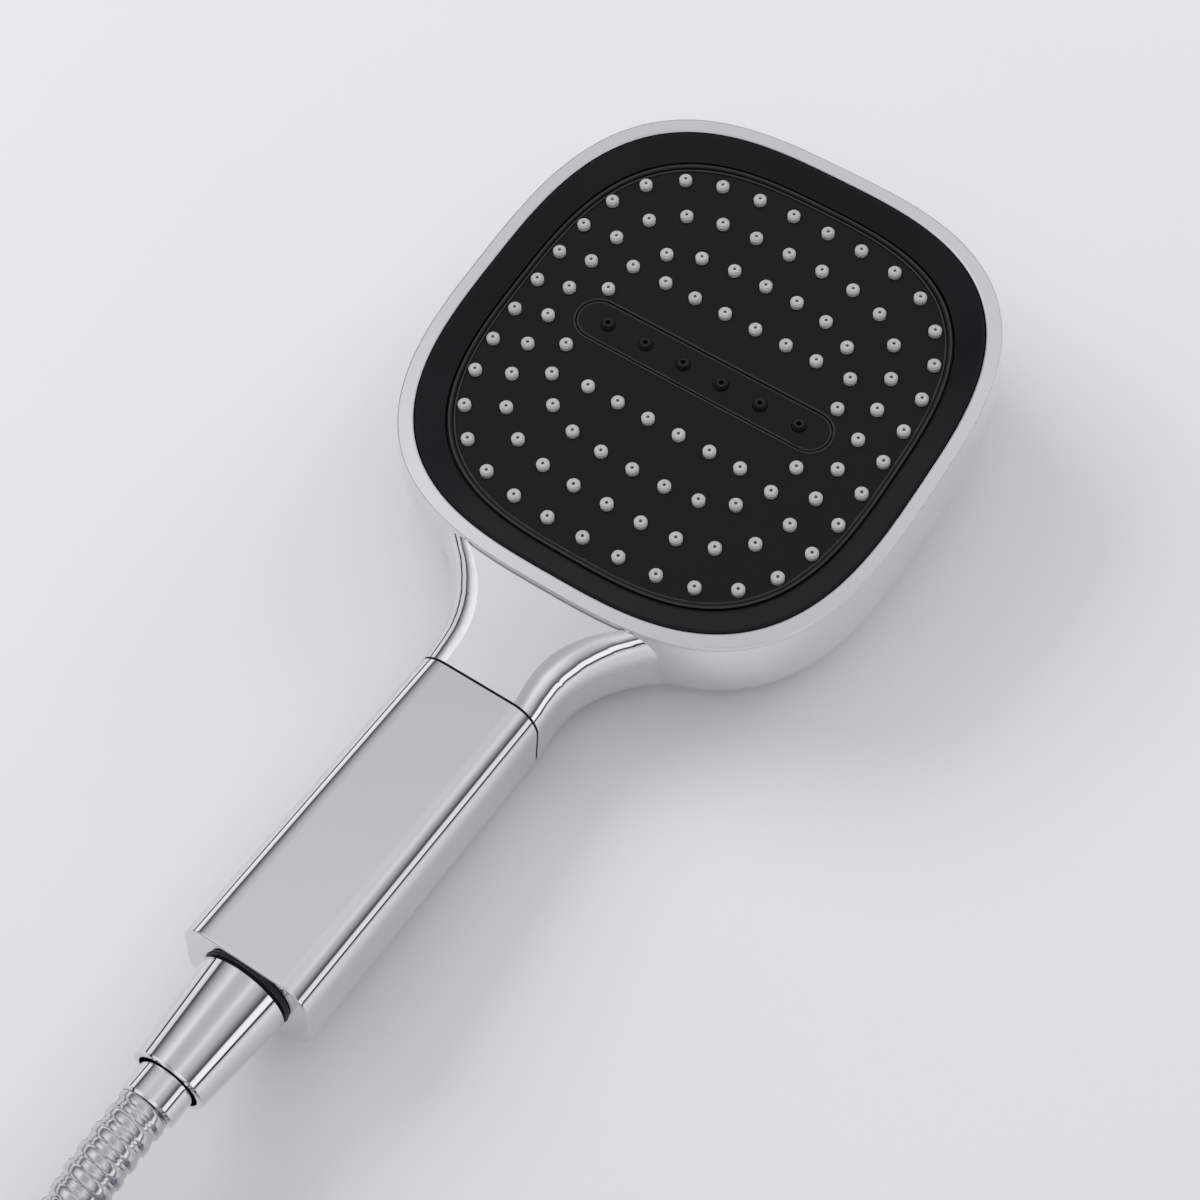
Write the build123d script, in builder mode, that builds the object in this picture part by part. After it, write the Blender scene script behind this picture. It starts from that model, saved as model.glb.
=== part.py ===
from build123d import *
import os
from math import cos, pi, radians, sin, sqrt, tan

# Handheld shower head with its 1.5 m hose, lying on its back. Millimetres, +Z up.
# Origin: on the floor under the middle of the handset. The handle and hose point to -Y.

# ---- where the spray face and the handle sit ----
FACE_TILT = 6.0          # the spray face leans this much towards the hose, degrees
FACE_Y, FACE_Z = 77.6, 38.3
SEAM_Y, SEAM_Z = -104.7, -14.1   # middle of the neck's end, from the middle of the face
GRIP_LEAN = 11.5         # angle between the handle's axis and the face, degrees

# ---- head ----
SQUIRCLE = 3.0           # exponent of the head's rounded-square outline
FACE_A, FACE_B = 58.2, 62.7      # half sizes of the flat nozzle plate
BEZEL_A, BEZEL_B = 65.3, 69.8    # half sizes of the black bezel
RIM_A, RIM_B = 69.4, 73.9        # half sizes of the chrome rim
RIM_TOP = 4.3            # the rim stands this far over the nozzle plate
WALL = 2.6               # shell wall
BACK_DEPTH = 31.7        # from the nozzle plate to the back

# ---- nozzles ----
NOZZLE_R, NOZZLE_H = 1.75, 1.5
NOZZLE_BORE_R = 0.45
CLEAR_R = 2.0            # hole round each nozzle in the plate
OUTER_RING = (53.5, 55.7, 35)    # half sizes and count of each nozzle ring
SECOND_RING = (44.7, 44.5, 30)
THIRD_RING = (35.7, 32.6)
THIRD_COUNT = 11         # nozzles on each side of the strip
INNER_ROW = (4.7, 14.1, 23.4)    # distances from the middle, mirrored
INNER_Y = 18.8
NOZZLE_SQUIRCLE = 3.4
STRIP_Y, STRIP_HALF, STRIP_WIDE = 0.9, 38.5, 11.6
JET_PITCH, JET_COUNT = 11.8, 6

# ---- spray selector in the neck ----
VALVE_Y = -82.0          # the selector's axis, square to the face
BUTTON_R = 8.1           # the button travels 2 mm inwards
BUTTON_HOLE_R, FLANGE_R = 10.2, 11.4
HOUSING_R = 12.5
ROTOR_R = 11.3
FLOOR_TOP = -19.4        # inside floor of the selector's housing
HOUSING_DEPTH = 14.0

# ---- handle ----
GRIP_W, GRIP_H, GRIP_CORNER = 36.0, 26.1, 7.6
GRIP_LENGTH = 92.9
GRIP_WALL = 2.0
SEAM_GAP = 0.7

# ---- hose connection, G1/2 ----
THREAD_R = 10.45         # outside of the male thread
SOCKET_R = 10.53         # inside of the nut's thread, a running fit
COLLAR_R = 11.9          # dark collar in the handle's end
COLLAR_END = 93.5        # end of the collar, from the seam
SPIGOT_END = 101.5       # end of the thread
NUT_START, NUT_END = 94.2, 121.2
NUT_TOP_R, NUT_END_R = 12.0, 9.8
FERRULE_R, INSERT_R, BORE_R = 7.3, 5.2, 4.2
EXIT_S = 129.0           # where the hose leaves its ferrule, from the seam
HOSE_R = 6.6
WALL_NUT_R = 12.0

# ---- hose on the floor ----
COIL_X, COIL_Y = 69.0, -234.0
COIL_OUT, COIL_IN, COIL_TOP = 74.4, 59.6, 67.0   # radii of the outer, inner and upper turns
FLOOR_Z = HOSE_R + 0.1           # height of the hose's middle on the floor
TOP_Z = FLOOR_Z + 11.7           # and in the valley between the two floor turns
TOP_START, TOP_END = 190.0, 432.0    # angles where the upper turn starts and ends
TAIL_STEP = 24.0         # the tail turns on by this angle from point to point, degrees
# heights of those points as it climbs over the coil
TAIL_HEIGHTS = (18.8, 22.4, 28.4, 33.2, 34.2, 33.4, 32.8, 33.0, 34.8, 37.4)
FIRST_RUN = 14.0         # straight out of the ferrule
# then sagging to the floor, where it runs into the coil's outer turn
LEAD = [
    (1.2, -187.0, 24.3),
    (0.0, -205.0, 16.2),
    (-3.6, -222.5, 10.0),
    (-5.6, -240.0, FLOOR_Z),
]

os.makedirs("parts", exist_ok=True)
tilt = radians(FACE_TILT)
face = Plane(origin=(0, FACE_Y, FACE_Z), x_dir=(1, 0, 0), z_dir=(0, -sin(tilt), cos(tilt)))


def face_plane(y, z, lean):
    """A section plane across the neck, at (y, z) of the face, leaning by lean degrees."""
    turn = radians(lean - FACE_TILT)
    start = face.from_local_coords((0, y, z))
    return Plane(origin=start, x_dir=(1, 0, 0), z_dir=(0, -cos(turn), sin(turn)))


seam = face_plane(SEAM_Y, SEAM_Z, GRIP_LEAN)


def valve_plane(z):
    """A plane across the selector's axis, at height z of the face."""
    start = face.from_local_coords((0, VALVE_Y, z))
    return Plane(origin=start, x_dir=(1, 0, 0), z_dir=face.z_dir)


def squircle(a, b, power=SQUIRCLE, count=36):
    """Points round a rounded square with half sizes a and b."""
    points = []
    for k in range(count):
        turn = 2 * pi * k / count
        r = (abs(cos(turn) / a) ** power + abs(sin(turn) / b) ** power) ** (-1 / power)
        points.append((r * cos(turn), r * sin(turn)))
    return points


def evenly(a, b, count, power, offset=0.0, start=0.0, end=2 * pi, ends=False):
    """count places spaced evenly along a squircle between two angles."""
    steps = 720
    trail = []
    for k in range(steps + 1):
        turn = start + (end - start) * k / steps
        r = (abs(cos(turn) / a) ** power + abs(sin(turn) / b) ** power) ** (-1 / power)
        trail.append((r * cos(turn), r * sin(turn)))
    lengths = [0.0]
    for p, q in zip(trail, trail[1:]):
        lengths.append(lengths[-1] + sqrt((p[0] - q[0]) ** 2 + (p[1] - q[1]) ** 2))
    gaps = count - 1 if ends else count
    places = []
    for k in range(count):
        wanted = lengths[-1] * (k + offset) / gaps
        i = min(range(steps + 1), key=lambda n: abs(lengths[n] - wanted))
        places.append(trail[i])
    return places


def nozzle_places():
    """Middles of the grey rain nozzles: two full rings, two half rings and two rows."""
    a, b, count = OUTER_RING
    places = evenly(a, b, count, NOZZLE_SQUIRCLE, 0.25)
    a, b, count = SECOND_RING
    places += evenly(a, b, count, NOZZLE_SQUIRCLE, 0.5)
    a, b = THIRD_RING
    reach = radians(16)
    for side in (1, -1):
        half = evenly(a, b, THIRD_COUNT, NOZZLE_SQUIRCLE, 0.0, reach, pi - reach, True)
        places += [(x, side * y) for x, y in half]
        for x in INNER_ROW:
            places += [(x, STRIP_Y + side * INNER_Y), (-x, STRIP_Y + side * INNER_Y)]
    return places


def jet_places():
    return [((k - (JET_COUNT - 1) / 2) * JET_PITCH, STRIP_Y) for k in range(JET_COUNT)]


def save(builder, name):
    builder.part.label = name
    export_step(builder.part, f"parts/{name}.step")


def tube(name, plane, outer_r, inner_r, length):
    """A plain round tube from a plane along its normal."""
    with BuildPart() as piece:
        with BuildSketch(plane):
            Circle(outer_r)
            if inner_r:
                Circle(inner_r, mode=Mode.SUBTRACT)
        extrude(amount=length)
    save(piece, name)
    return piece


def turned(name, plane, outline):
    """A piece turned about the plane's normal, from (radius, height) corners."""
    section = Plane(origin=plane.origin, x_dir=plane.x_dir, z_dir=-plane.y_dir)
    with BuildPart() as piece:
        with BuildSketch(section):
            with BuildLine():
                Polyline(*outline, close=True)
            make_face()
        revolve(axis=Axis(plane.origin, plane.z_dir))
    save(piece, name)
    return piece


def squircle_face(z, a, b):
    """A squircle over the spray face, at height z of it."""
    with BuildSketch(face.offset(z)) as section:
        with BuildLine():
            Spline(*squircle(a, b), periodic=True)
        make_face()
    return section.sketch


def squircle_plate(z, a, b, height, inner=None):
    """Adds a squircle plate, or a ring when inner half sizes are given."""
    extrude(squircle_face(z, a, b), amount=height)
    if inner:
        extrude(squircle_face(z, *inner), amount=height, mode=Mode.SUBTRACT)


# ---- chrome head and neck, one moulding ----
HEAD_SECTIONS = [        # height over the nozzle plate, half sizes
    (2.6, 69.0, 73.5),
    (-9.0, 70.4, 74.9),
    (-20.0, 69.4, 73.9),
    (-BACK_DEPTH, 64.0, 68.5),
]
BACK_ROUND = 8.0         # rounding of the back edge
NECK_SECTIONS = [        # y, z, lean, half width, height, corner
    (SEAM_Y, SEAM_Z, GRIP_LEAN, GRIP_W / 2, GRIP_H, GRIP_CORNER),
    (-97.0, -13.5, 8.0, 18.1, 26.4, 8.0),
    (-89.0, -12.9, 5.0, 19.7, 26.8, 8.4),
    (-82.0, -12.6, 3.0, 23.4, 27.4, 8.8),
    (-75.0, -12.4, 1.0, 29.6, 28.4, 9.0),
    (-68.0, -12.2, 0.0, 39.0, 29.2, 9.0),
    (-60.0, -12.0, 0.0, 53.0, 29.6, 9.0),
]
SHELL_EDGE = HEAD_SECTIONS[0][0]


def head_solid(inset, top, mode):
    """The head's outside, or its inside when inset by the wall."""
    sections = []
    for z, a, b in HEAD_SECTIONS:
        height = top if z > 0 else z * (1 - inset / BACK_DEPTH)
        sections.append(squircle_face(height, a - inset, b - inset))
    solid = loft(sections, mode=Mode.PRIVATE)
    back = solid.edges().group_by(Axis(face.origin, face.z_dir))[0]
    add(solid.fillet(BACK_ROUND - inset / 2, back), mode=mode)


def neck_solid(inset, first, mode):
    """The neck's outside, or its inside when inset by the wall."""
    sections = []
    for y, z, lean, half, height, corner in NECK_SECTIONS[first:]:
        with BuildSketch(face_plane(y, z, lean)) as section:
            RectangleRounded(2 * (half - inset), height - 2 * inset, corner - inset)
        sections.append(section.sketch)
    loft(sections, mode=mode)


with BuildPart() as head_shell:
    head_solid(0, SHELL_EDGE, Mode.ADD)
    neck_solid(0, 0, Mode.ADD)
    head_solid(WALL, SHELL_EDGE + 1, Mode.SUBTRACT)
    neck_solid(WALL, 1, Mode.SUBTRACT)
    with BuildSketch(seam.offset(-12)):
        Circle(9.2)
    extrude(amount=14, mode=Mode.SUBTRACT)
    with BuildSketch(valve_plane(-32)):
        Circle(BUTTON_HOLE_R)
    extrude(amount=10, mode=Mode.SUBTRACT)
    with BuildSketch(valve_plane(-32)):
        Circle(FLANGE_R + 0.2)
    extrude(amount=5.4, mode=Mode.SUBTRACT)
save(head_shell, "head_shell")

# ---- chrome rim ring, clipped into the shell's edge ----
RING_IN = (BEZEL_A + 0.2, BEZEL_B + 0.2)
with BuildPart() as rim_ring:
    squircle_plate(SHELL_EDGE + 0.3, RIM_A, RIM_B, RIM_TOP - SHELL_EDGE - 0.3, RING_IN)
    lip = rim_ring.edges().group_by(Axis(face.origin, face.z_dir))[-1]
    fillet(lip, 0.5)
    squircle_plate(-3.0, BEZEL_A + 0.9, BEZEL_B + 0.9, SHELL_EDGE + 3.3, RING_IN)
save(rim_ring, "rim_ring")

# ---- black sloping bezel round the plate, with eight screw holes ----
BEZEL_FOOT = -9.0
screw_places = evenly(61.9, 66.4, 8, SQUIRCLE, 0.5)
with BuildPart() as face_bezel:
    squircle_plate(BEZEL_FOOT, BEZEL_A, BEZEL_B, RIM_TOP - 0.3 - BEZEL_FOOT)
    slope_foot = squircle_face(0.7, FACE_A + 0.5, FACE_B + 0.5)
    slope_top = squircle_face(RIM_TOP, BEZEL_A - 0.3, BEZEL_B - 0.3)
    loft([slope_foot, slope_top], mode=Mode.SUBTRACT)
    window = squircle_face(BEZEL_FOOT, FACE_A + 0.3, FACE_B + 0.3)
    extrude(window, amount=12, mode=Mode.SUBTRACT)
    with BuildSketch(face.offset(BEZEL_FOOT)):
        with Locations(*screw_places):
            Circle(1.3)
    extrude(amount=6, mode=Mode.SUBTRACT)
    with BuildSketch(valve_plane(BEZEL_FOOT - 1)):
        Circle(HOUSING_R + 0.3)
    extrude(amount=6.6, mode=Mode.SUBTRACT)
save(face_bezel, "face_bezel")

# ---- black nozzle plate with a raised bead near its edge ----
places = nozzle_places()
with BuildPart() as face_plate:
    squircle_plate(-2.4, FACE_A, FACE_B, 2.4)
    squircle_plate(0, FACE_A - 0.3, FACE_B - 0.3, 0.7, (FACE_A - 1.4, FACE_B - 1.4))
    with BuildSketch(face):
        with Locations((0, STRIP_Y)):
            SlotOverall(2 * STRIP_HALF + 0.6, STRIP_WIDE + 0.6)
        with Locations(*places):
            Circle(CLEAR_R)
    extrude(amount=-3, mode=Mode.SUBTRACT)
save(face_plate, "face_plate")

# ---- grey silicone mat with its rain nozzles ----
MAT_TOP, MAT_FOOT = -2.5, -3.9
with BuildPart() as nozzle_mat:
    squircle_plate(MAT_FOOT, FACE_A - 0.4, FACE_B - 0.4, MAT_TOP - MAT_FOOT)
    with BuildSketch(face.offset(MAT_FOOT)):
        with Locations((0, STRIP_Y)):
            SlotOverall(2 * STRIP_HALF, STRIP_WIDE)
    extrude(amount=3, mode=Mode.SUBTRACT)
    with BuildSketch(face.offset(MAT_TOP - 0.2)):
        with Locations(*places):
            Circle(NOZZLE_R)
    extrude(amount=NOZZLE_H - MAT_TOP - 0.3)
    with BuildSketch(face.offset(NOZZLE_H - 0.5)):
        with Locations(*places):
            Circle(NOZZLE_R)
    extrude(amount=0.5, taper=45)
    with BuildSketch(face.offset(MAT_FOOT)):
        with Locations(*places):
            Circle(NOZZLE_BORE_R)
    extrude(amount=8, mode=Mode.SUBTRACT)
save(nozzle_mat, "nozzle_mat")

# ---- jet strip in the middle: a cover and its black nozzles ----
with BuildPart() as jet_insert:
    with BuildSketch(face.offset(-2.4)):
        with Locations((0, STRIP_Y)):
            SlotOverall(2 * STRIP_HALF, STRIP_WIDE)
        with Locations(*jet_places()):
            Circle(CLEAR_R, mode=Mode.SUBTRACT)
    extrude(amount=2.4)
save(jet_insert, "jet_insert")

with BuildPart() as jet_nozzles:
    with BuildSketch(face.offset(-4.4)):
        with Locations((0, STRIP_Y)):
            SlotOverall(2 * STRIP_HALF - 1, STRIP_WIDE - 1)
    extrude(amount=1.9)
    with BuildSketch(face.offset(-2.6)):
        with Locations(*jet_places()):
            Circle(NOZZLE_R)
    extrude(amount=3.0)
    with BuildSketch(face.offset(-4.4)):
        with Locations(*jet_places()):
            Circle(0.7)
    extrude(amount=6, mode=Mode.SUBTRACT)
save(jet_nozzles, "jet_nozzles")

# ---- water divider behind the plate: an outer rain chamber and an inner jet chamber ----
DIVIDER_FOOT = -10.6
RAIN_PORT, JET_PORT = (-6.0, -36.0), (6.0, STRIP_Y)
with BuildPart() as water_divider:
    squircle_plate(DIVIDER_FOOT, BEZEL_A - 1.6, BEZEL_B - 1.6, 1.5)
    wall = (FACE_A - 0.8, FACE_B - 0.8)
    squircle_plate(DIVIDER_FOOT + 1, *wall, 5.6, (wall[0] - 2, wall[1] - 2))
    with BuildSketch(face.offset(DIVIDER_FOOT + 1)):
        with Locations((0, STRIP_Y)):
            SlotOverall(2 * STRIP_HALF + 4, STRIP_WIDE + 4)
            SlotOverall(2 * STRIP_HALF, STRIP_WIDE, mode=Mode.SUBTRACT)
    extrude(amount=5.6)
    with BuildSketch(face.offset(DIVIDER_FOOT)):
        with Locations(RAIN_PORT, JET_PORT):
            Circle(3.0)
        with Locations(*screw_places):
            Circle(1.3)
    extrude(amount=2, mode=Mode.SUBTRACT)
save(water_divider, "water_divider")

with BuildPart() as face_screws:
    with BuildSketch(face.offset(DIVIDER_FOOT - 1.5)):
        with Locations(*screw_places):
            Circle(2.3)
    extrude(amount=1.4)
    with BuildSketch(face.offset(DIVIDER_FOOT - 0.2)):
        with Locations(*screw_places):
            Circle(1.2)
    extrude(amount=6.5)
save(face_screws, "face_screws")

# ---- moulded channel that takes the water from the selector to the divider ----
CHANNEL_Z = -16.4        # middle height of its two bores
CHANNEL_TOP, CHANNEL_FOOT = -11.9, -20.9
channel = face.offset(CHANNEL_FOOT)
with BuildPart() as flow_channel:
    with BuildSketch(channel):
        with Locations((0, -51)):
            RectangleRounded(23, 38, 3)
        with Locations((6, -16)):
            RectangleRounded(11, 46, 3)
    extrude(amount=CHANNEL_TOP - CHANNEL_FOOT)
    bores = Plane(origin=face.from_local_coords((0, -71, CHANNEL_Z)), x_dir=(1, 0, 0),
                  z_dir=face.y_dir)
    with BuildSketch(bores):
        with Locations((-6, 0)):
            Circle(3)
    extrude(amount=38, mode=Mode.SUBTRACT)
    with BuildSketch(bores):
        with Locations((6, 0)):
            Circle(3)
    extrude(amount=75, mode=Mode.SUBTRACT)
    with BuildSketch(face.offset(CHANNEL_Z)):
        with Locations(RAIN_PORT, JET_PORT):
            Circle(3)
    extrude(amount=6, mode=Mode.SUBTRACT)
    with BuildSketch(valve_plane(CHANNEL_FOOT - 1)):
        Circle(HOUSING_R + 0.1)
    extrude(amount=CHANNEL_TOP - CHANNEL_FOOT + 2, mode=Mode.SUBTRACT)
save(flow_channel, "flow_channel")

with BuildPart() as channel_seals:
    for x, y in (RAIN_PORT, JET_PORT):
        spot = face.from_local_coords((x, y, (CHANNEL_TOP + DIVIDER_FOOT) / 2))
        with BuildSketch(Plane(origin=spot, x_dir=(1, 0, 0), z_dir=-face.y_dir)):
            with Locations((4.0, 0)):
                Circle(0.6)
        revolve(axis=Axis(spot, face.z_dir))
save(channel_seals, "channel_seals")

# ---- spray selector in the neck: housing, seal, rotor, lid, button ----
with BuildPart() as valve_housing:
    with BuildSketch(valve_plane(FLOOR_TOP - 1.6)):
        Circle(HOUSING_R)
    extrude(amount=1.6)
    with BuildSketch(valve_plane(FLOOR_TOP)):
        Circle(HOUSING_R)
        Circle(ROTOR_R + 0.1, mode=Mode.SUBTRACT)
    extrude(amount=HOUSING_DEPTH)
    with BuildSketch(valve_plane(FLOOR_TOP)):
        Circle(4.3)
        Rectangle(1.6, 2 * ROTOR_R + 0.6)
    extrude(amount=5.7)
    with BuildSketch(valve_plane(-22)):
        Circle(2.6)
    extrude(amount=9, mode=Mode.SUBTRACT)
    with BuildSketch(valve_plane(-20.7)):
        Circle(3.75)
    extrude(amount=1.2, mode=Mode.SUBTRACT)
    ports = Plane(origin=face.from_local_coords((0, VALVE_Y, CHANNEL_Z)), x_dir=(1, 0, 0),
                  z_dir=face.y_dir)
    with BuildSketch(ports):
        with Locations((-6, 0), (6, 0)):
            Circle(2.7)
    extrude(amount=14, mode=Mode.SUBTRACT)
    inlet = Plane(origin=face.from_local_coords((0, VALVE_Y, -7.6)), x_dir=(1, 0, 0),
                  z_dir=-face.y_dir)
    with BuildSketch(inlet):
        SlotOverall(12, 4)
    extrude(amount=14, mode=Mode.SUBTRACT)
save(valve_housing, "valve_housing")

rotor_seal = tube("rotor_seal", valve_plane(-13.6), ROTOR_R - 0.2, 4.5, 1.0)

with BuildPart() as diverter_rotor:
    with BuildSketch(valve_plane(-12.5)):
        Circle(ROTOR_R)
        with PolarLocations(7.2, 2):
            Circle(2.4, mode=Mode.SUBTRACT)
    extrude(amount=3)
    with BuildSketch(valve_plane(-12.5)):
        Circle(3)
    extrude(amount=2, mode=Mode.SUBTRACT)
save(diverter_rotor, "diverter_rotor")

valve_lid = tube("valve_lid", valve_plane(FLOOR_TOP + HOUSING_DEPTH + 0.1), HOUSING_R, 0, 1.6)
stem_seal = turned("stem_seal", valve_plane(-20.65),
                   [(2.58, 0), (3.6, 0), (3.6, 1.1), (2.58, 1.1)])

with BuildPart() as mode_button:
    with BuildSketch(valve_plane(-27.9)):
        Circle(BUTTON_R)
    extrude(amount=3.3)
    crown = mode_button.edges().group_by(Axis(face.origin, face.z_dir))[0]
    fillet(crown, 0.8)
    with BuildSketch(valve_plane(-26.4)):
        Circle(6.4)
        Circle(3.2, mode=Mode.SUBTRACT)
    extrude(amount=2, mode=Mode.SUBTRACT)
    with BuildSketch(valve_plane(-25)):
        Circle(2.5)
    extrude(amount=12.2)
save(mode_button, "mode_button")

button_bezel = turned("button_bezel", valve_plane(-27.4), [
    (BUTTON_R + 0.35, 0), (FLANGE_R, 0), (FLANGE_R, 0.7), (10.0, 0.7), (10.0, 4),
    (BUTTON_R + 0.35, 4),
])


def spring(name, plane, radius, height, pitch, wire):
    """A coil spring standing on a plane."""
    with BuildPart() as piece:
        with BuildLine() as path:
            Helix(pitch, height, radius, center=plane.origin, direction=plane.z_dir)
        with BuildSketch(Plane(origin=path.line @ 0, z_dir=path.line % 0)):
            Circle(wire)
        sweep()
    save(piece, name)
    return piece


button_spring = spring("button_spring", valve_plane(-25.8), 4.8, 4.2, 1.05, 0.3)

# ---- handle: chrome sleeve over the water tube ----
END_WALL = 5.0
with BuildPart() as handle_sleeve:
    with BuildSketch(seam.offset(SEAM_GAP)):
        RectangleRounded(GRIP_W, GRIP_H, GRIP_CORNER)
    extrude(amount=GRIP_LENGTH - SEAM_GAP)
    rims = handle_sleeve.edges().group_by(Axis(seam.origin, seam.z_dir))[-1]
    fillet(rims, 0.5)
    with BuildSketch(seam.offset(SEAM_GAP)):
        RectangleRounded(GRIP_W - 2 * GRIP_WALL, GRIP_H - 2 * GRIP_WALL, GRIP_CORNER - GRIP_WALL)
    extrude(amount=GRIP_LENGTH - SEAM_GAP - END_WALL, mode=Mode.SUBTRACT)
    with BuildSketch(seam.offset(GRIP_LENGTH - END_WALL - 1)):
        Circle(10.4)
    extrude(amount=END_WALL + 2, mode=Mode.SUBTRACT)
    with BuildSketch(seam.offset(GRIP_LENGTH - 3.3)):
        Circle(COLLAR_R + 0.2)
    extrude(amount=4, mode=Mode.SUBTRACT)
save(handle_sleeve, "handle_sleeve")

with BuildPart() as seam_gasket:
    with BuildSketch(seam.offset(0.05)):
        RectangleRounded(GRIP_W - 1.2, GRIP_H - 1.2, GRIP_CORNER - 0.6)
        Circle(9.4, mode=Mode.SUBTRACT)
    extrude(amount=SEAM_GAP - 0.1)
save(seam_gasket, "seam_gasket")

neck_adapter = turned("neck_adapter", seam, [
    (6.5, -7.4), (9.1, -7.4), (9.1, -6.2), (7.6, -6.2), (7.6, -4.6), (9.1, -4.6), (9.1, -3.2),
    (7.6, -3.2), (7.6, -1.6), (9.1, -1.6), (9.1, 14), (6.5, 14),
])
with BuildPart() as adapter_o_rings:
    for s in (-5.4, -2.4):
        with BuildSketch(Plane(origin=seam.origin, x_dir=seam.x_dir, z_dir=-seam.y_dir)):
            with Locations((8.4, s)):
                Circle(0.76)
        revolve(axis=Axis(seam.origin, seam.z_dir))
save(adapter_o_rings, "adapter_o_rings")

water_tube = tube("water_tube", seam.offset(14.1), 8.6, 6.5, 58)

inlet_connector = turned("inlet_connector", seam, [
    (7.6, 72.2), (10.2, 72.2), (10.2, 89.7), (COLLAR_R, 89.7), (COLLAR_R, COLLAR_END),
    (THREAD_R, COLLAR_END), (THREAD_R, SPIGOT_END - 0.8), (THREAD_R - 0.8, SPIGOT_END),
    (7.6, SPIGOT_END),
])

# ---- check valve and filter parts in the inlet's bore ----
CHECK_START, CHECK_END = 76.0, 88.0
with BuildPart() as check_valve_body:
    with BuildSketch(seam.offset(CHECK_START)):
        Circle(7.5)
        Circle(5.8, mode=Mode.SUBTRACT)
    extrude(amount=CHECK_END - CHECK_START)
    with BuildSketch(seam.offset(CHECK_START)):
        Circle(6)
        Circle(1.35, mode=Mode.SUBTRACT)
        with PolarLocations(3.7, 5):
            Circle(1.3, mode=Mode.SUBTRACT)
    extrude(amount=1.5)
    with BuildSketch(seam.offset(CHECK_END - 1.6)):
        Circle(6)
        Circle(3.6, mode=Mode.SUBTRACT)
    extrude(amount=1.6)
save(check_valve_body, "check_valve_body")
check_valve_poppet = turned("check_valve_poppet", seam, [
    (0, 76.4), (1.25, 76.4), (1.25, 84.6), (5.0, 84.6), (5.0, 86.3), (0, 86.3),
])
check_valve_spring = spring("check_valve_spring", seam.offset(78.2), 3.0, 5.6, 1.4, 0.3)

with BuildPart() as flow_regulator:
    with BuildSketch(seam.offset(90)):
        Circle(7.5)
        with PolarLocations(5, 8):
            Circle(1.2, mode=Mode.SUBTRACT)
    extrude(amount=3)
save(flow_regulator, "flow_regulator")

with BuildPart() as inlet_screen:
    with BuildSketch(seam.offset(99.6)):
        Circle(7.5)
        with HexLocations(0.95, 7, 7):
            Circle(0.6, mode=Mode.SUBTRACT)
    extrude(amount=0.8)
save(inlet_screen, "inlet_screen")

# ---- hose end on the handle ----
hose_washer = tube("hose_washer", seam.offset(SPIGOT_END + 0.1), 9.4, 5.5, 1.8)
hose_insert = turned("hose_insert", seam, [
    (BORE_R, 103.6), (9.3, 103.6), (9.3, 105.0), (INSERT_R, 105.0), (INSERT_R, 127), (BORE_R, 127),
])
hose_nut = turned("hose_nut", seam, [
    (SOCKET_R, NUT_START), (NUT_TOP_R - 0.3, NUT_START), (NUT_TOP_R, NUT_START + 0.3),
    (NUT_END_R, NUT_END - 0.4), (NUT_END_R - 0.4, NUT_END), (8.3, NUT_END), (8.3, 107.4),
    (7.7, 107.4), (7.7, 105.4), (9.7, 105.4), (9.7, SPIGOT_END + 0.2),
    (SOCKET_R, SPIGOT_END + 0.2),
])
hose_ferrule = turned("hose_ferrule", seam, [
    (INSERT_R + 0.1, 107.8), (FERRULE_R, 107.8), (FERRULE_R, EXIT_S - 0.6),
    (FERRULE_R - 0.6, EXIT_S), (INSERT_R + 0.1, EXIT_S),
])

# ---- hose: the free stretch, the coil on the floor and the tail ----
exit_point = seam.from_local_coords((0, 0, EXIT_S))
first_point = seam.from_local_coords((0, 0, EXIT_S + FIRST_RUN))


def corner_radii(points):
    """The largest arc that fits each corner of a route, 0.45 of the shorter run."""
    radii = []
    for a, b, c in zip(points, points[1:], points[2:]):
        turn = radians((b - a).get_angle(c - b))
        radii.append(0.45 * min((b - a).length, (c - b).length) / tan(turn / 2))
    return radii


def hose(name, route):
    """A round tube along straight runs joined by tangent arcs."""
    points = [Vector(*p) for p in route]
    radii = corner_radii(points)
    with BuildPart() as piece:
        with BuildLine() as path:
            FilletPolyline(*points, radius=radii)
        with BuildSketch(Plane(origin=path.line @ 0, z_dir=path.line % 0)):
            Circle(HOSE_R)
        sweep()
    save(piece, name)
    length = sum(edge.length for edge in path.edges())
    expected = pi * HOSE_R ** 2 * length
    print(name, "radii", [round(r) for r in radii], "length", round(length, 1),
          "volume over expected", round(piece.part.volume / expected, 3))
    return piece


def on_coil(angle, radius, z):
    turn = radians(angle)
    return (COIL_X + radius * cos(turn), COIL_Y + radius * sin(turn), z)


hose_lead = hose("hose_lead", [tuple(exit_point), tuple(first_point)] + LEAD)

LAYER = 2 * HOSE_R
spin_axis = Axis((COIL_X, COIL_Y, 0), (0, 0, 1))
upper_start = radians(TOP_START)
upper_plane = Plane(origin=(COIL_X, COIL_Y, 0), x_dir=(cos(upper_start), sin(upper_start), 0),
                    z_dir=(sin(upper_start), -cos(upper_start), 0))
with BuildPart() as hose_coil:
    with BuildSketch(Plane(origin=(COIL_X, COIL_Y, 0.1))):
        Circle(COIL_OUT + HOSE_R)
        Circle(COIL_IN - HOSE_R, mode=Mode.SUBTRACT)
    extrude(amount=LAYER)
    with BuildSketch(upper_plane):
        with Locations((COIL_TOP, (LAYER + TOP_Z + HOSE_R) / 2)):
            Rectangle(LAYER, TOP_Z + HOSE_R - LAYER)
    revolve(axis=spin_axis, revolution_arc=TOP_END - TOP_START)
    add(hose_lead.part, mode=Mode.SUBTRACT)
save(hose_coil, "hose_coil")

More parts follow.
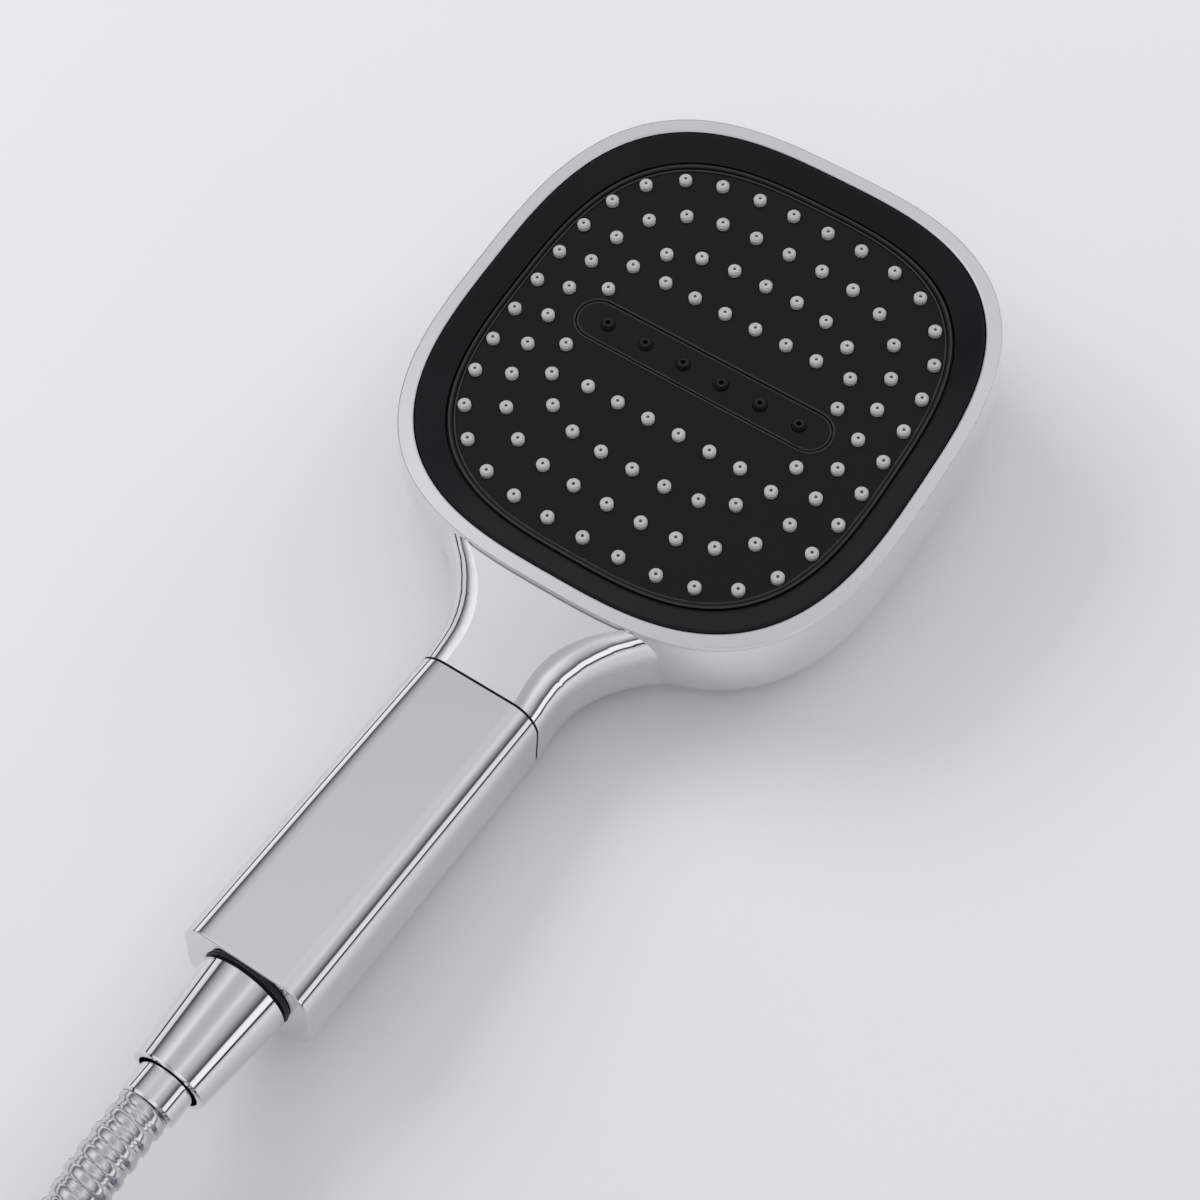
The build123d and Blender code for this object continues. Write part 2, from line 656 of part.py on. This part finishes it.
# the tail turns on over the coil while it rises to the connector lying on the upper turn
tail_route = [on_coil(TOP_END + TAIL_STEP * k, COIL_TOP, height)
              for k, height in enumerate(TAIL_HEIGHTS)]
away = radians(TOP_END + TAIL_STEP * (len(TAIL_HEIGHTS) - 1))
along = Vector(-sin(away), cos(away), 0)
tail_end = Vector(*tail_route[-1]) + along * 9
hose_tail = hose("hose_tail", tail_route + [tuple(tail_end)])

# ---- wall end of the hose ----
wall_end = Plane(origin=tail_end, x_dir=(along.Y, -along.X, 0), z_dir=along)
wall_ferrule = turned("wall_ferrule", wall_end, [
    (INSERT_R + 0.1, 0), (FERRULE_R - 0.6, 0), (FERRULE_R, 0.6), (FERRULE_R, 13.6),
    (INSERT_R + 0.1, 13.6),
])
wall_insert = turned("wall_insert", wall_end, [
    (BORE_R, 2), (INSERT_R, 2), (INSERT_R, 16.4), (9.9, 16.4), (9.9, 17.8), (BORE_R, 17.8),
])
wall_washer = tube("wall_washer", wall_end.offset(17.9), 10.1, 5.5, 2)
WALL_NUT_END, WALL_THREAD = 32.0, 12.0
with BuildPart() as wall_nut:
    with BuildSketch(wall_end.offset(14)):
        Circle(WALL_NUT_R)
    extrude(amount=WALL_NUT_END - 14)
    ends = wall_nut.edges().filter_by(GeomType.CIRCLE)
    chamfer(ends, 0.5)
    with BuildSketch(wall_end.offset(14)):
        Circle(7.7)
    extrude(amount=20, mode=Mode.SUBTRACT)
    with BuildSketch(wall_end.offset(16.2)):
        Circle(SOCKET_R)
    extrude(amount=20, mode=Mode.SUBTRACT)
    with BuildSketch(wall_end.offset(16.2)):
        Circle(SOCKET_R + 0.4)
    extrude(amount=WALL_NUT_END - WALL_THREAD - 16.2, mode=Mode.SUBTRACT)
    with BuildSketch(wall_end.offset(15.5)):
        with PolarLocations(WALL_NUT_R + 0.2, 24):
            Circle(0.6)
    extrude(amount=11, mode=Mode.SUBTRACT)
save(wall_nut, "wall_nut")

print("exit point", exit_point, "seam", seam.origin, seam.z_dir)
print("wall end", wall_end.origin, wall_end.z_dir, "valve", valve_plane(0).origin)
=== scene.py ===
# %% [markdown]
# # A handheld shower head on a white studio floor
# The design comes from a CAD frame: every solid already has its true size and place. This lesson
# dresses it. The metal is chrome plate, the spray face is satin black plastic with grey silicone
# nozzles, and the hose is a wound steel strip.
#
# The frame is loaded first; each part's place is moved into its mesh, and the file's empties are
# removed. Nothing here may outgrow the design.

# %% Load the frame
from math import cos, pi, radians, sin

import bmesh
import bpy
from mathutils import Matrix, Vector


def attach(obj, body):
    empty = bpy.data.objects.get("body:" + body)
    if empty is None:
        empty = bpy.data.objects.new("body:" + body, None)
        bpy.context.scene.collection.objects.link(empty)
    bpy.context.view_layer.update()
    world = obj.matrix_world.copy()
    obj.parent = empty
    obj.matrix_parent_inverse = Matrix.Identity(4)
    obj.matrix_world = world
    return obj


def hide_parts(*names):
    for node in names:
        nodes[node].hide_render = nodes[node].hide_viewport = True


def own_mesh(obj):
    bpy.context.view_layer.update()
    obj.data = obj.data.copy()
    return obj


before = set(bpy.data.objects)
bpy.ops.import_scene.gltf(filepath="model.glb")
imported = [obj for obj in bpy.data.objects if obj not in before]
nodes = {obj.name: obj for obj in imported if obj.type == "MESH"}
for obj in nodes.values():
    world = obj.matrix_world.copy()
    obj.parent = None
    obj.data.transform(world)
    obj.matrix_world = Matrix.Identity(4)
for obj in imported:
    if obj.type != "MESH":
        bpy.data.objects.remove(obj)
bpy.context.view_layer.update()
MM = 0.001

# %% [markdown]
# ## Where things are
# The spray face leans a few degrees towards the hose, and the handle has its own lean. A plane with
# a middle and three directions describes each, so that a piece can be made flat at the origin and
# then set into its plane with one matrix.

# %% The face's plane and the handle's line
FACE_TILT = radians(6.0)
GRIP_RISE = radians(5.5)
FACE_MIDDLE = Vector((0, 77.6, 38.3)) * MM
SEAM_Y, SEAM_Z = -104.7 * MM, -14.1 * MM


def plane_matrix(origin, x_dir, z_dir):
    """A matrix that sets a flat piece into the plane at origin, square to z_dir."""
    z_dir = Vector(z_dir).normalized()
    x_dir = Vector(x_dir).normalized()
    y_dir = z_dir.cross(x_dir)
    turn = Matrix((x_dir, y_dir, z_dir)).transposed().to_4x4()
    return Matrix.Translation(origin) @ turn


face_in = plane_matrix(FACE_MIDDLE, (1, 0, 0), (0, -sin(FACE_TILT), cos(FACE_TILT)))
seam_middle = face_in @ Vector((0, SEAM_Y, SEAM_Z))
grip_in = plane_matrix(seam_middle, (1, 0, 0), (0, -cos(GRIP_RISE), sin(GRIP_RISE)))
print("seam at", seam_middle)

# %% [markdown]
# ## The camera
# A product picture taken from above and to the right, with a lens of about 70 mm, shows the face and
# the whole handle with little distortion. The camera stands at an offset from the middle of the face,
# and its azimuth and elevation turn it without rolling.

# %% Camera
CAMERA_AZIMUTH, CAMERA_ELEVATION = radians(33.6), radians(59.3)
CAMERA_OFFSET = Vector((174.7, -310.4, 484.0)) * MM
camera_data = bpy.data.cameras.new("camera")
camera_data.lens = 68.5
camera_data.sensor_width = 36
camera_data.clip_start = 0.01
camera = bpy.data.objects.new("camera", camera_data)
camera.location = FACE_MIDDLE + CAMERA_OFFSET
camera.rotation_euler = (pi / 2 - CAMERA_ELEVATION, 0, CAMERA_AZIMUTH)
bpy.context.scene.collection.objects.link(camera)
bpy.context.scene.camera = camera

# %% [markdown]
# ## The hose: one long smooth line
# A shower hose is a rubber tube inside a wound steel strip. It bends, but never sharply. It leaves
# the ferrule in line with the handle, sags to the floor and runs into a round coil beside it: a turn
# and a half on the floor, half a turn that climbs, half a turn in the valley above, and a last stretch
# that rises over the coil and ends in its connector. The line is a NURBS curve, whose control points
# pull it round with no corners. A coil of equal turns is quickest to wind with a loop over its angle.

# %% The hose's route
COIL_MIDDLE = Vector((69.0, -234.0, 0)) * MM
OUTER_TURN, INNER_TURN, UPPER_TURN = 74.4, 59.6, 67.0
# degrees round the coil: where its first turn passes over into the inner one, and how long that takes
EASE_FROM, EASE_OVER = 395, 125
# degrees round the coil: the turns on the floor, the half turn above them, and the last climb
FLOOR_FROM, FLOOR_TO = 224, 745
UPPER_FROM, UPPER_TO = 960, 1150
LAST_FROM = 1152
FITTING_RUN = 9.0
FLOOR_LAY, UPPER_LAY = 6.7, 18.4
EXIT_S, FIRST_RUN = 129.0 * MM, 14.0 * MM
STEP = 24
PULL = 0.75 + 0.25 * cos(radians(STEP))
hose_exit = grip_in @ Vector((0, 0, EXIT_S))
lead = [(1.2, -187.0, 24.3), (0.0, -205.0, 16.2), (-3.6, -222.5, 10.0), (-5.6, -240.0, 6.8)]
route = [hose_exit, grip_in @ Vector((0, 0, EXIT_S + FIRST_RUN))]
route += [Vector(point) * MM for point in lead]


def coil_point(angle, radius, height):
    """A control point that pulls the line to this radius, in millimetres, at this angle."""
    turn = radians(angle)
    reach = radius / PULL
    return COIL_MIDDLE + Vector((reach * cos(turn), reach * sin(turn), height)) * MM


def floor_radius(angle):
    """The outer turn eases over into the inner one after EASE_FROM."""
    share = min(1, max(0, (angle - EASE_FROM) / EASE_OVER))
    return OUTER_TURN - (OUTER_TURN - INNER_TURN) * share * share * (3 - 2 * share)


coil = [(200, 73.6, FLOOR_LAY)]
coil += [(angle, floor_radius(angle), FLOOR_LAY) for angle in range(FLOOR_FROM, FLOOR_TO, STEP)]
climb = [(752, 59.6, 6.7), (772, 58.4, 6.7), (794, 56.0, 7.6), (816, 54.8, 12.2), (840, 56.2, 18.0),
         (864, 60.0, 20.6), (888, 60.8, 20.0), (912, 62.1, 19.9), (936, 64.6, 19.4)]
coil += climb
coil += [(angle, UPPER_TURN, UPPER_LAY) for angle in range(UPPER_FROM, UPPER_TO, STEP)]
last_climb = [18.8, 22.4, 28.4, 33.2, 34.2, 33.4, 32.8, 33.0, 34.8, 37.4]
last_radii = [67.0, 67.0, 66.5, 66.0, 66.5, 67.0, 67.0, 67.0, 67.0]
for k, radius in enumerate(last_radii):
    coil.append((LAST_FROM + STEP * k, radius, last_climb[k]))
route += [coil_point(*place) for place in coil]
end_turn = radians(LAST_FROM + STEP * len(last_radii))
end_at = COIL_MIDDLE + Vector((UPPER_TURN * cos(end_turn), UPPER_TURN * sin(end_turn),
                               last_climb[-1])) * MM
route += [end_at, end_at + Vector((-sin(end_turn), cos(end_turn), 0)) * FITTING_RUN * MM]
print("control points", len(route))


def smooth_line(name, points):
    """A NURBS curve through the space between its control points."""
    curve = bpy.data.curves.new(name, "CURVE")
    curve.dimensions = "3D"
    curve.resolution_u = 16
    spline = curve.splines.new("NURBS")
    spline.points.add(len(points) - 1)
    for place, point in zip(spline.points, points):
        place.co = (*point, 1)
    spline.order_u = 3
    spline.use_endpoint_u = True
    return curve


def line_points(curve):
    """The points that Blender itself puts on the curve."""
    holder = bpy.data.objects.new("line", curve)
    bpy.context.scene.collection.objects.link(holder)
    mesh = bpy.data.meshes.new_from_object(holder)
    points = [vertex.co.copy() for vertex in mesh.vertices]
    bpy.data.objects.remove(holder)
    bpy.data.meshes.remove(mesh)
    return points


def even_points(points, gap):
    """The same line with points an even gap apart, and the line's length."""
    lengths = [0.0]
    for a, b in zip(points, points[1:]):
        lengths.append(lengths[-1] + (b - a).length)
    count = max(2, round(lengths[-1] / gap))
    result = []
    i = 0
    for k in range(count + 1):
        wanted = lengths[-1] * k / count
        while i < len(points) - 2 and lengths[i + 1] < wanted:
            i += 1
        share = (wanted - lengths[i]) / (lengths[i + 1] - lengths[i])
        result.append(points[i].lerp(points[i + 1], min(1, max(0, share))))
    return result, lengths[-1]


hose_line = line_points(smooth_line("hose_route", route))
HOSE_PITCH = 4.7 * MM
SLICES = 12
hose_path, hose_length = even_points(hose_line, HOSE_PITCH / SLICES)
print("hose length", round(hose_length, 4), "slices", len(hose_path))

# %% [markdown]
# ## The hose's steel strip
# The strip is folded to an S and wound, so the hose shows a broad band and a lower narrow band for
# each turn of the winding, with a dark crevice between them. A tube is swept along the line, and its
# radius follows that profile. The bands run round as a screw thread does, so the profile's phase
# turns with the angle.

# %% Sweep the hose
HOSE_SIDES = 24
# one pitch of the folded strip, in millimetres: a broad band, a crevice, a narrow band, a crevice
PROFILE = [6.48, 6.6, 6.6, 6.6, 6.6, 6.6, 6.48, 5.7, 6.1, 6.1, 6.1, 5.7]


def strip_radius(phase):
    """Radius of the wound strip at a phase of its pitch, between the profile's steps."""
    step = phase % 1.0 * SLICES
    low = int(step)
    share = step - low
    return (PROFILE[low % SLICES] * (1 - share) + PROFILE[(low + 1) % SLICES] * share) * MM


def sweep_hose(name, path):
    """A closed tube along the path whose radius follows the wound strip."""
    mesh = bpy.data.meshes.new(name)
    bm = bmesh.new()
    normal = Vector((0, 0, 1))
    rings = []
    for k, point in enumerate(path):
        ahead, behind = path[min(k + 1, len(path) - 1)], path[max(k - 1, 0)]
        along = (ahead - behind).normalized()
        normal = (normal - along * normal.dot(along)).normalized()
        side = along.cross(normal)
        ring = []
        for n in range(HOSE_SIDES):
            turn = 2 * pi * n / HOSE_SIDES
            radius = strip_radius(k / SLICES + n / HOSE_SIDES)
            ring.append(bm.verts.new(point + radius * (cos(turn) * normal + sin(turn) * side)))
        rings.append(ring)
    for ring, following in zip(rings, rings[1:]):
        for n in range(HOSE_SIDES):
            m = (n + 1) % HOSE_SIDES
            bm.faces.new((ring[n], ring[m], following[m], following[n]))
    bm.faces.new(list(reversed(rings[0])))
    bm.faces.new(rings[-1])
    bmesh.ops.recalc_face_normals(bm, faces=bm.faces)
    for face in bm.faces:
        face.smooth = len(face.verts) == 4
    bm.to_mesh(mesh)
    bm.free()
    piece = bpy.data.objects.new(name, mesh)
    bpy.context.scene.collection.objects.link(piece)
    return piece


steel_hose = sweep_hose("steel_hose", hose_path)
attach(steel_hose, "root")
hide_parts("hose_lead", "hose_coil", "hose_tail")
print("hose faces", len(steel_hose.data.polygons))

# %% [markdown]
# ## A helper for materials
# Each finish is a small node tree. One function adds a node with its settings and links, and another
# turns the hex colours of a paint chart into the linear values that the shader needs.

# %% Material helpers


def colour(code):
    """Linear RGBA of an sRGB hex colour."""
    parts = [int(code[k:k + 2], 16) / 255 for k in (1, 3, 5)]
    return tuple(c / 12.92 if c <= 0.04045 else ((c + 0.055) / 1.055) ** 2.4 for c in parts) + (1,)


def node(tree, kind, settings=None, **links):
    """Adds a node; settings go to its properties or inputs, links join its inputs to outputs."""
    made = tree.nodes.new(kind)
    for key, value in (settings or {}).items():
        if key in made.inputs:
            made.inputs[key].default_value = value
        else:
            setattr(made, key, value)
    for key, source in links.items():
        tree.links.new(source, made.inputs[key.replace("_", " ")])
    return made


def surface(name, **settings):
    """A new material with its main shader, and the tree to add a pattern to."""
    material = bpy.data.materials.new(name)
    material.use_nodes = True
    tree = material.node_tree
    shader = tree.nodes["Principled BSDF"]
    for key, value in settings.items():
        shader.inputs[key.replace("_", " ")].default_value = value
    place = node(tree, "ShaderNodeTexCoord").outputs["Object"]
    return material, tree, shader, place


# %% [markdown]
# ## Chrome plating
# The shell and handle are ABS, plated with copper, nickel and then a very thin bright chromium. It
# is a mirror with almost no grain, so the eye reads it from what it reflects. Real plating follows
# the moulding under it, which is never quite flat: long soft waves, a centimetre or two across, bend
# the reflections a little, and fine wiping marks blur them here and there.

# %% Bright chromium plate on ABS
chrome, tree, shader, place = surface(
    "chromium_plate", Base_Color=colour("#E4E6E9"), Metallic=1.0, Roughness=0.05,
)
waves = node(tree, "ShaderNodeTexNoise", {"Scale": 60.0, "Detail": 1.0}, Vector=place)
marks = node(tree, "ShaderNodeTexNoise", {"Scale": 420.0, "Detail": 3.0}, Vector=place)
gloss = node(tree, "ShaderNodeMapRange", {"From Min": 0.35, "From Max": 0.75, "To Min": 0.03,
                                          "To Max": 0.085}, Value=marks.outputs["Fac"])
tree.links.new(gloss.outputs["Result"], shader.inputs["Roughness"])
ripple = node(tree, "ShaderNodeBump", {"Strength": 0.05, "Distance": 0.0006},
              Height=waves.outputs["Fac"])
tree.links.new(ripple.outputs["Normal"], shader.inputs["Normal"])
print("chromium plate made")

# %% [markdown]
# ## Satin black plastic
# The spray plate and its bezel are moulded ABS. The mould is spark eroded, which leaves a fine even
# grain of about 0.3 mm. It breaks the highlight up into a soft grey sheen.

# %% Satin black ABS
GRAIN = 0.35 * MM


def moulded(name, code, roughness, grain=GRAIN, depth=0.25, specular=0.4):
    """Moulded plastic or rubber: one colour that drifts a little, and a fine eroded grain."""
    material, tree, shader, place = surface(name, Roughness=roughness, Specular_IOR_Level=specular)
    drift = node(tree, "ShaderNodeTexNoise", {"Scale": 70.0, "Detail": 2.0}, Vector=place)
    tint = node(tree, "ShaderNodeMix", {"data_type": "RGBA"}, Factor=drift.outputs["Fac"])
    base = colour(code)
    tint.inputs[6].default_value = tuple(c * 0.86 for c in base[:3]) + (1,)
    tint.inputs[7].default_value = tuple(min(1, c * 1.14) for c in base[:3]) + (1,)
    tree.links.new(tint.outputs[2], shader.inputs["Base Color"])
    pits = node(tree, "ShaderNodeTexNoise", {"Scale": 1 / grain, "Detail": 2.0}, Vector=place)
    relief = node(tree, "ShaderNodeBump", {"Strength": depth, "Distance": 0.00006},
                  Height=pits.outputs["Fac"])
    tree.links.new(relief.outputs["Normal"], shader.inputs["Normal"])
    sheen = node(tree, "ShaderNodeMapRange", {"To Min": roughness - 0.07, "To Max": roughness + 0.07},
                 Value=drift.outputs["Fac"])
    tree.links.new(sheen.outputs["Result"], shader.inputs["Roughness"])
    return material


black_abs = moulded("satin_black_abs", "#0B0C0E", 0.33, specular=0.22)
gloss_black = moulded("polished_black_abs", "#101113", 0.2, depth=0.1)
dark_acetal = moulded("dark_grey_acetal", "#26282B", 0.38)
white_acetal = moulded("natural_white_acetal", "#E3E2DC", 0.4)
black_rubber = moulded("epdm_rubber", "#151516", 0.6)
black_silicone = moulded("black_silicone", "#17181A", 0.45)
print("moulded plastics made")

# %% [markdown]
# ## Grey silicone
# The rain nozzles are soft liquid silicone rubber, so that lime can be rubbed off. Silicone is
# slightly cloudy: light goes in and comes out again nearby. A small subsurface radius gives that, and
# the colour is a little mottled from dried water.

# %% Liquid silicone rubber
grey_silicone = moulded("grey_silicone", "#C4C5C3", 0.5, grain=0.8 * MM)
silicone_shader = grey_silicone.node_tree.nodes["Principled BSDF"]
silicone_shader.inputs["Subsurface Weight"].default_value = 0.15
silicone_shader.inputs["Subsurface Radius"].default_value = (1.0, 0.9, 0.8)
silicone_shader.inputs["Subsurface Scale"].default_value = 0.6 * MM
print("silicone made")

# %% [markdown]
# ## Brass, steel and the hose's strip
# The parts inside are turned brass and stainless steel, with fine tool lines round their axis. The
# hose's strip is stainless steel with a bright chrome flash, drawn and wound, so it is less of a
# mirror than the handle.

# %% Other metals


def worked(name, code, roughness, scale):
    """Machined or drawn metal: even colour, and roughness that changes with fine tool marks."""
    material, tree, shader, place = surface(name, Base_Color=colour(code), Metallic=1.0,
                                            Roughness=roughness)
    lines = node(tree, "ShaderNodeTexNoise", {"Scale": scale, "Detail": 3.0}, Vector=place)
    gloss = node(tree, "ShaderNodeMapRange", {"To Min": roughness * 0.6, "To Max": roughness * 1.4},
                 Value=lines.outputs["Fac"])
    tree.links.new(gloss.outputs["Result"], shader.inputs["Roughness"])
    relief = node(tree, "ShaderNodeBump", {"Strength": 0.12, "Distance": 0.00004},
                  Height=lines.outputs["Fac"])
    tree.links.new(relief.outputs["Normal"], shader.inputs["Normal"])
    return material


brass = worked("turned_brass", "#C9A35A", 0.22, 900.0)
stainless = worked("stainless_steel", "#C3C5C8", 0.24, 900.0)
hose_steel = worked("wound_steel_strip", "#D4D6DA", 0.16, 700.0)
steel_hose.data.materials.append(hose_steel)
print("metals made")

# %% [markdown]
# ## Each CAD part gets its finish
# The CAD parts that have the right shape stay as they are and only get a better material. A part
# can have several material slots, so every slot is set.

# %% Finishes by part
finishes = {
    chrome: ["head_shell", "rim_ring", "handle_sleeve", "hose_nut", "hose_ferrule", "button_bezel",
             "wall_nut", "wall_ferrule"],
    black_abs: ["face_bezel", "face_plate", "jet_insert"],
    gloss_black: ["mode_button"],
    grey_silicone: ["nozzle_mat"],
    black_silicone: ["jet_nozzles"],
    dark_acetal: ["inlet_connector", "water_divider", "flow_channel", "valve_housing"],
    white_acetal: ["valve_lid", "diverter_rotor", "check_valve_body", "check_valve_poppet",
                   "flow_regulator", "water_tube"],
    black_rubber: ["channel_seals", "rotor_seal", "stem_seal", "seam_gasket", "adapter_o_rings",
                   "hose_washer", "wall_washer"],
    brass: ["neck_adapter", "hose_insert", "wall_insert"],
    stainless: ["face_screws", "button_spring", "check_valve_spring", "inlet_screen"],
}
dressed = set()
for material, names in finishes.items():
    for name in names:
        mesh = nodes[name].data
        mesh.materials.clear()
        mesh.materials.append(material)
        dressed.add(name)
print("not dressed", sorted(set(nodes) - dressed))

# %% [markdown]
# ## Rounded beads on the spray plate
# Near its edge the plate has a double bead, and a lip runs round the jet strip. Their rounded tops
# are what catches the light on a black part. A thin round bead along a closed line is a curve with a
# bevel, which needs no vertices of its own. The head's outline is a superellipse, a shape between an
# ellipse and a rectangle, so its formula gives the points.

# %% Beads and lip
SQUIRCLE = 3.0
FACE_A, FACE_B = 58.2, 62.7
STRIP_Y, STRIP_HALF, STRIP_WIDE = 0.9, 38.5, 11.6
polished_bead = moulded("polished_bead_abs", "#0E0F11", 0.2, depth=0.05, specular=0.7)


def squircle_points(a, b, count=144):
    """Points on the rounded square with half sizes a and b."""
    points = []
    for k in range(count):
        turn = 2 * pi * k / count
        reach = (abs(cos(turn) / a) ** SQUIRCLE + abs(sin(turn) / b) ** SQUIRCLE) ** (-1 / SQUIRCLE)
        points.append((reach * cos(turn), reach * sin(turn)))
    return points


def slot_points(half, wide, middle_y, count=24):
    """Points on a slot's outline: two straight sides and two half circles."""
    points = []
    radius = wide / 2
    for end in (1, -1):
        for k in range(count + 1):
            turn = pi * k / count - pi / 2
            points.append((end * (half - radius + radius * cos(turn)),
                           middle_y + end * radius * sin(turn)))
    return points


def bead(name, outline, height, thickness):
    """A round bead of this radius along a closed outline on the face, in millimetres."""
    curve = bpy.data.curves.new(name, "CURVE")
    curve.dimensions = "3D"
    curve.bevel_depth = thickness * MM
    curve.bevel_resolution = 2
    line = curve.splines.new("POLY")
    line.points.add(len(outline) - 1)
    for place, (x, y) in zip(line.points, outline):
        place.co = (*(face_in @ (Vector((x, y, height)) * MM)), 1)
    line.use_cyclic_u = True
    curve.materials.append(polished_bead)
    piece = bpy.data.objects.new(name, curve)
    bpy.context.scene.collection.objects.link(piece)
    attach(piece, "root")


bead("outer_bead", squircle_points(FACE_A - 0.6, FACE_B - 0.6), 0.5, 0.5)
bead("inner_bead", squircle_points(FACE_A - 1.8, FACE_B - 1.8), 0.05, 0.45)
bead("strip_lip", slot_points(STRIP_HALF + 0.6, STRIP_WIDE + 1.2, STRIP_Y), -0.05, 0.35)
bead("insert_edge", slot_points(STRIP_HALF - 0.35, STRIP_WIDE - 0.7, STRIP_Y), -0.15, 0.3)
print("beads made")

# %% [markdown]
# ## Jet nozzle tips
# The six jet nozzles end in short black tips with a chamfered rim and a deep hole. One tip is
# half a cross-section spun once round, and its copies stand 11.8 mm apart along the strip.

# %% Jet tips
JET_PITCH, JET_COUNT = 11.8, 6
tip_profile = [(0.6, -0.4), (0.6, 1.2), (0.8, 1.45), (1.15, 1.45), (1.5, 1.1), (1.55, 0.2)]
tips_mesh = bpy.data.meshes.new("jet_tips")
bm = bmesh.new()
for k in range(JET_COUNT):
    x = (k - (JET_COUNT - 1) / 2) * JET_PITCH
    corners = [bm.verts.new(Vector((x + radius, STRIP_Y, height)) * MM)
               for radius, height in tip_profile]
    edges = [bm.edges.new(pair) for pair in zip(corners, corners[1:])]
    bmesh.ops.spin(bm, geom=corners + edges, cent=Vector((x, STRIP_Y, 0)) * MM, axis=(0, 0, 1),
                   angle=2 * pi, steps=24, use_merge=True)
bmesh.ops.recalc_face_normals(bm, faces=bm.faces)
for face in bm.faces:
    face.smooth = True
bm.transform(face_in)
bm.to_mesh(tips_mesh)
bm.free()
tips_mesh.materials.append(gloss_black)
jet_tips = bpy.data.objects.new("jet_tips", tips_mesh)
bpy.context.scene.collection.objects.link(jet_tips)
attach(jet_tips, "root")
print("jet tips", JET_COUNT)

# %% [markdown]
# ## Copies of the springs
# The button and the check valve each have a coil spring. In the frame a spring keeps its length, so
# the part that presses on it would pass through it. Here each spring's mesh is copied with its doubled
# vertices merged, the copy is hung from the root and the CAD spring is hidden. The copy keeps its
# length too, so the pressing part still passes through it.

# %% Springs


def live_spring(name, node_name):
    """A copy of a CAD spring with its doubled vertices merged, which takes the place of the hidden
    original.
    """
    mesh = nodes[node_name].data.copy()
    bm = bmesh.new()
    bm.from_mesh(mesh)
    bmesh.ops.remove_doubles(bm, verts=bm.verts, dist=0.001 * MM)
    bm.to_mesh(mesh)
    bm.free()
    piece = bpy.data.objects.new(name, mesh)
    bpy.context.scene.collection.objects.link(piece)
    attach(piece, "root")
    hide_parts(node_name)
    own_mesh(piece)


live_spring("button_return_spring", "button_spring")
live_spring("check_return_spring", "check_valve_spring")

# %% [markdown]
# ## Floor and light
# A wide white floor, one large soft light high on the left, a weaker one behind and a bright sky make
# the pale, almost shadowless picture of a shop catalogue. Chrome needs something dark to reflect as
# well, or it looks like white plastic, so the sky has dark bands: one at the horizon and one higher.

# %% Floor
floor_material, tree, shader, place = surface("white_painted_board", Roughness=0.2,
                                              Specular_IOR_Level=0.3)
shader.inputs["Base Color"].default_value = colour("#F4F4F4")
paint = node(tree, "ShaderNodeTexNoise", {"Scale": 30.0, "Detail": 2.0}, Vector=place)
even = node(tree, "ShaderNodeMapRange", {"To Min": 0.16, "To Max": 0.22}, Value=paint.outputs["Fac"])
tree.links.new(even.outputs["Result"], shader.inputs["Roughness"])
FLOOR_HALF = 4.0
floor_mesh = bpy.data.meshes.new("floor")
bm = bmesh.new()
bmesh.ops.create_grid(bm, x_segments=1, y_segments=1, size=FLOOR_HALF)
bm.to_mesh(floor_mesh)
bm.free()
floor_mesh.materials.append(floor_material)
floor = bpy.data.objects.new("floor", floor_mesh)
bpy.context.scene.collection.objects.link(floor)

# %% Lights


def soft_light(name, place, aim, width, height, power):
    """A rectangular light at place that points at aim, and that nothing mirrors."""
    data = bpy.data.lights.new(name, "AREA")
    data.shape = "RECTANGLE"
    data.size, data.size_y, data.energy = width, height, power
    lamp = bpy.data.objects.new(name, data)
    lamp.location = place
    lamp.rotation_euler = (Vector(aim) - Vector(place)).to_track_quat("-Z", "Y").to_euler()
    lamp.visible_glossy = False
    bpy.context.scene.collection.objects.link(lamp)


soft_light("key", (-1.25, 0.05, 1.0), (0, 0, 0), 1.3, 0.7, 9.0)
soft_light("fill", (0.5, 1.3, 0.8), (0, 0, 0), 0.8, 0.8, 3.0)
world = bpy.data.worlds.new("studio")
bpy.context.scene.world = world
world.use_nodes = True
sky_tree = world.node_tree
sky = sky_tree.nodes["Background"]
way = node(sky_tree, "ShaderNodeTexCoord").outputs["Generated"]
split = node(sky_tree, "ShaderNodeSeparateXYZ", Vector=way)
ramp = node(sky_tree, "ShaderNodeValToRGB", Fac=split.outputs["Z"])
steps = [(0.0, "#26282B"), (0.07, "#303236"), (0.11, "#FFFFFF"), (0.34, "#FAFBFC"), (0.4, "#3C3F44"),
         (0.5, "#8A8E93"), (0.66, "#D2D5D8"), (0.82, "#F2F3F4"), (0.9, "#FFFFFF"), (1.0, "#D5D8DB")]
for (at, code), stop in zip(steps, [ramp.color_ramp.elements[0], ramp.color_ramp.elements[1]]):
    stop.position, stop.color = at, colour(code)
for at, code in steps[2:]:
    ramp.color_ramp.elements.new(at).color = colour(code)
cloud = node(sky_tree, "ShaderNodeTexNoise", {"Scale": 1.6, "Detail": 0.0}, Vector=way)
thick = node(sky_tree, "ShaderNodeMapRange", {"From Min": 0.35, "From Max": 0.65, "To Min": 0.85,
                                              "To Max": 1.3}, Value=cloud.outputs["Fac"])
drift = node(sky_tree, "ShaderNodeVectorMath", {"operation": "SCALE"}, Scale=thick.outputs["Result"])
sky_tree.links.new(ramp.outputs["Color"], drift.inputs[0])
sky_tree.links.new(drift.outputs["Vector"], sky.inputs["Color"])
sky.inputs["Strength"].default_value = 0.85
bpy.context.scene.view_settings.view_transform = "Standard"
